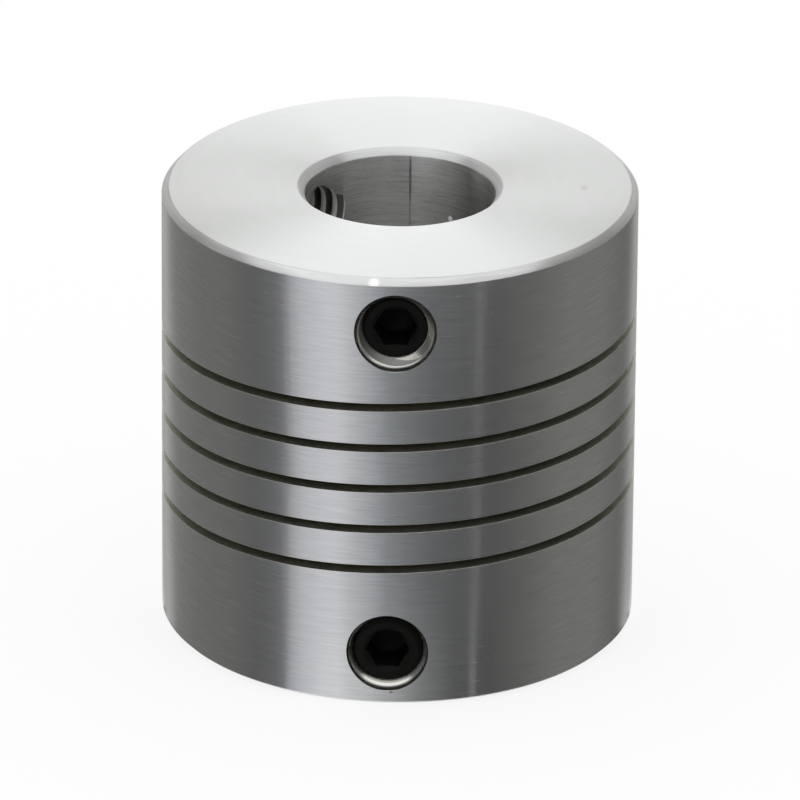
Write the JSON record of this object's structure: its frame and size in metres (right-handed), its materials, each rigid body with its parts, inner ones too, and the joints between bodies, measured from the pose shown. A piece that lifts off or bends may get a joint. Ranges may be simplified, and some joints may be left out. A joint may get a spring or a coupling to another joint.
{
  "type": "helical beam coupling",
  "caption": "One-piece aluminium shaft coupling: a round body with a bore through it, a helical slot that makes its middle flexible, and socket set screws in each hub.",
  "frame": {"origin": "centre of the bore in the plane of the lower end face, on which the coupling stands", "axes": "+Z along the bore towards the upper hub; the front pair of set screws faces -Y"},
  "size_m": [0.025, 0.025, 0.0242],
  "materials": {
    "turned_aluminium": "bare turned aluminium with fine circular tool marks",
    "black_steel": "black oxide"
  },
  "bodies": {
    "root": {"coupling_body": "turned_aluminium", "set_screws": "black_steel"}
  },
  "joints": []
}
